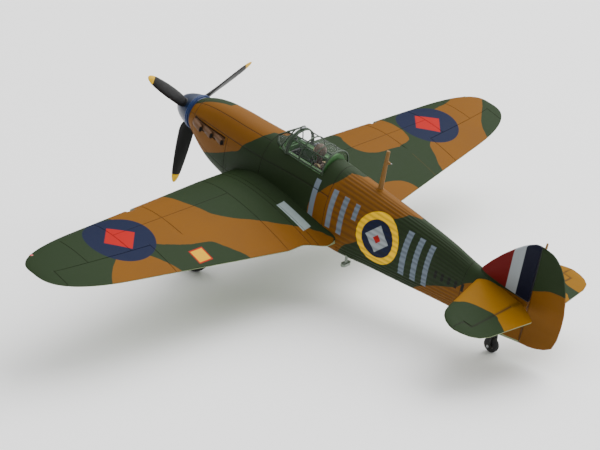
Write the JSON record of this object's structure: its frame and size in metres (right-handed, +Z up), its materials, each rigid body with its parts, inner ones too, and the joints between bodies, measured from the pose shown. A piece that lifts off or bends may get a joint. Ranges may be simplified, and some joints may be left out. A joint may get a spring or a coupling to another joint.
{
  "type": "propeller plane model",
  "caption": "Scale model of a low-wing single-seat propeller fighter on fixed legs, with a free-turning propeller and wheels, glazed cockpit and a stand socket in the belly.",
  "frame": {"origin": "middle of the overall box, on the table that the three tyres stand on", "axes": "+X to the port wing tip, +Y aft towards the tail, +Z up from the table"},
  "size_m": [0.1692, 0.1312, 0.0516],
  "materials": {
    "camouflage_paint": "matt brown and green paint over die-cast metal, pale underside",
    "blade_black": "satin black with yellow tips",
    "spinner_blue": "satin dark blue paint",
    "steel": "turned steel",
    "brass": "turned brass",
    "tyre_rubber": "matt black rubber",
    "hub_silver": "silver-grey moulded plastic",
    "glazing": "clear moulding with painted frames",
    "lamp_clear": "clear moulding",
    "lamp_red": "glossy red",
    "lamp_green": "glossy green",
    "cockpit_green": "matt grey-green",
    "figure_paint": "hand-painted moulded figure",
    "exhaust_brown": "burnt brown",
    "mast_brown": "matt brown",
    "leg_grey": "silver grey paint",
    "underside_sky": "matt pale green-grey",
    "core_black": "matt black mesh"
  },
  "bodies": {
    "airframe": {"antenna_mast": "mast_brown", "assembly_screws": "steel", "carburettor_intake": "underside_sky", "cockpit_tub": "cockpit_green", "control_column": "cockpit_green", "drag_strut_port": "leg_grey", "drag_strut_starboard": "leg_grey", "exhaust_port": "exhaust_brown", "exhaust_starboard": "exhaust_brown", "footstep": "leg_grey", "fuselage_port_half": "camouflage_paint", "fuselage_starboard_half": "camouflage_paint", "gear_door_port": "underside_sky", "gear_door_starboard": "underside_sky", "gunsight": "cockpit_green", "headrest_plate": "cockpit_green", "hood": "glazing", "instrument_panel": "cockpit_green", "landing_light_port": "lamp_clear", "landing_light_starboard": "lamp_clear", "main_axle_port": "steel", "main_axle_starboard": "steel", "main_leg_port": "leg_grey", "main_leg_starboard": "leg_grey", "nav_light_port": "lamp_red", "nav_light_starboard": "lamp_green", "nose_bush": "brass", "pilot_figure": "figure_paint", "pitot_head": "leg_grey", "radiator_core": "core_black", "radiator_housing": "underside_sky", "rear_view_mirror": "mast_brown", "rudder": "camouflage_paint", "rudder_aerial_post": "mast_brown", "seat": "cockpit_green", "tail_axle": "steel", "tail_fork": "leg_grey", "tailplane_port": "camouflage_paint", "tailplane_starboard": "camouflage_paint", "windscreen": "glazing", "wing": "camouflage_paint"},
    "propeller": {"propeller_blade_a": "blade_black", "propeller_blade_b": "blade_black", "propeller_blade_c": "blade_black", "propeller_hub": "steel", "propeller_shaft": "steel", "shaft_collar": "steel", "spinner": "spinner_blue", "spinner_backplate": "spinner_blue"},
    "port_wheel": {"wheel_hub_port": "hub_silver", "tyre_port": "tyre_rubber"},
    "starboard_wheel": {"wheel_hub_starboard": "hub_silver", "tyre_starboard": "tyre_rubber"},
    "tail_wheel": {"tail_wheel_hub": "hub_silver", "tail_wheel_tyre": "tyre_rubber"}
  },
  "joints": [
    {"name": "propeller_spin", "type": "hinge", "parent": "airframe", "child": "propeller", "pos_m": [0, -0.0607, 0.03766], "axis": [0, 0.9774, -0.2113], "continuous": true},
    {"name": "port_wheel_spin", "type": "hinge", "parent": "airframe", "child": "port_wheel", "pos_m": [0.0166, -0.04356, 0.0055], "axis": [1, 0, 0], "continuous": true},
    {"name": "starboard_wheel_spin", "type": "hinge", "parent": "airframe", "child": "starboard_wheel", "pos_m": [-0.0166, -0.04356, 0.0055], "axis": [1, 0, 0], "continuous": true},
    {"name": "tail_wheel_spin", "type": "hinge", "parent": "airframe", "child": "tail_wheel", "pos_m": [0, 0.04457, 0.00205], "axis": [1, 0, 0], "continuous": true}
  ]
}
